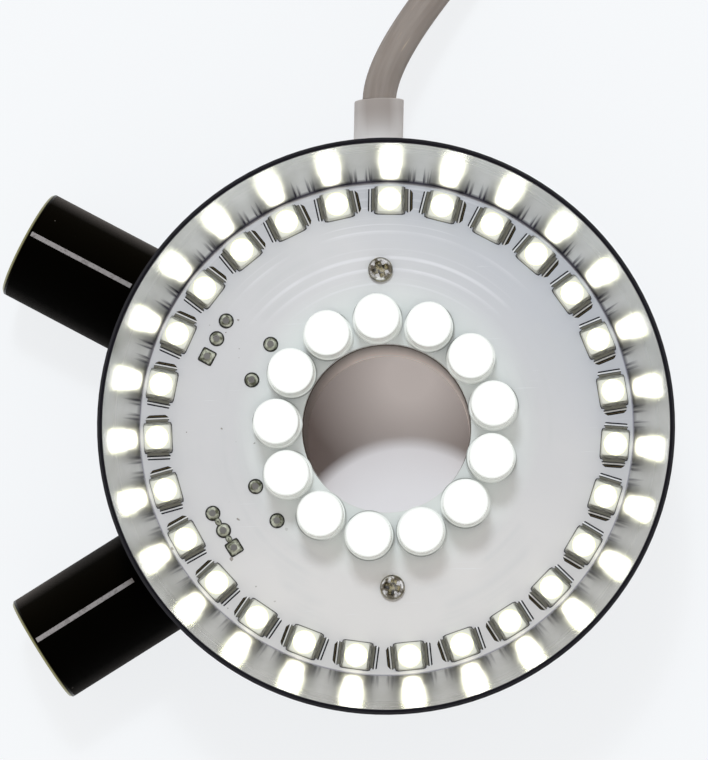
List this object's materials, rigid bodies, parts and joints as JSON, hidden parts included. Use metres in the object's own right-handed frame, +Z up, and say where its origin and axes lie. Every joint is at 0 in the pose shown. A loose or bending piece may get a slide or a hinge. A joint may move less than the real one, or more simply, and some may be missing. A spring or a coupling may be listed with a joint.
{
  "type": "led_ring_light",
  "caption": "Bench microscope ring light: black turned cup around a viewing bore, white lamp board with two rings of lamps, bright cone, two dimmer knobs and a coiled low-voltage cord.",
  "frame": {"origin": "where the axis of the viewing bore meets the flat rear face", "axes": "+Z up along the bore towards the lit side, +Y towards the cord, -X towards the two knobs"},
  "size_m": [0.0767, 0.1507, 0.0236],
  "materials": {
    "anodised_black": "satin black anodised",
    "bright_aluminium": "bright turned",
    "board_white": "white solder mask",
    "screw_steel": "plated",
    "lamp_case": "white moulded",
    "lit_phosphor": "lit lamp",
    "lit_epoxy": "clear lit lamp",
    "tinned_lead": "tinned",
    "resistor_black": "glazed",
    "solder": "dull solder",
    "pot_plastic": "moulded",
    "pot_metal": "plated",
    "track_brown": "carbon track on laminate",
    "rotor_cream": "moulded",
    "knob_black": "satin",
    "cap_metal": "spun",
    "pointer_white": "filled line",
    "sleeve_grey": "moulded",
    "cord_grey": "smooth vinyl",
    "wire_red": "vinyl",
    "wire_black": "vinyl",
    "tie_black": "woven strap",
    "plug_black": "moulded",
    "plug_nickel": "nickel plated"
  },
  "bodies": {
    "lamp": {"housing": "anodised_black", "reflector_ring": "bright_aluminium", "led_board": "board_white", "board_screws": "screw_steel", "smd_led_cases": "lamp_case", "smd_led_lenses": "lit_phosphor", "smd_led_leads": "tinned_lead", "flat_led_lenses": "lit_epoxy", "flat_led_leads": "tinned_lead", "ballast_resistors": "resistor_black", "pot_solder_joints": "solder", "upper_pot_case": "pot_plastic", "upper_pot_frame": "pot_metal", "upper_pot_pins": "tinned_lead", "upper_pot_track": "track_brown", "lower_pot_case": "pot_plastic", "lower_pot_frame": "pot_metal", "lower_pot_pins": "tinned_lead", "lower_pot_track": "track_brown", "cable_sleeve": "sleeve_grey", "cable_tail": "cord_grey", "positive_wire": "wire_red", "negative_wire": "wire_black", "lead_cable": "cord_grey", "cable_coil": "cord_grey", "coil_tie": "tie_black", "plug_cable": "cord_grey", "plug_grip": "plug_black", "plug_sleeve": "plug_nickel", "plug_insulator": "plug_black"},
    "upper_dimmer": {"upper_pot_rotor": "rotor_cream", "upper_pot_shaft": "pot_metal", "upper_knob": "knob_black", "upper_knob_cap": "cap_metal", "upper_knob_pointer": "pointer_white"},
    "lower_dimmer": {"lower_pot_rotor": "rotor_cream", "lower_pot_shaft": "pot_metal", "lower_knob": "knob_black", "lower_knob_cap": "cap_metal", "lower_knob_pointer": "pointer_white"}
  },
  "joints": [
    {"name": "upper_dimmer_turn", "type": "hinge", "parent": "lamp", "child": "upper_dimmer", "pos_m": [-0.03118, 0.018, 0.0085], "axis": [-0.866, 0.5, 0], "range_deg": [-150, 150]},
    {"name": "lower_dimmer_turn", "type": "hinge", "parent": "lamp", "child": "lower_dimmer", "pos_m": [-0.03118, -0.018, 0.0085], "axis": [-0.866, -0.5, 0], "range_deg": [-150, 150]}
  ]
}
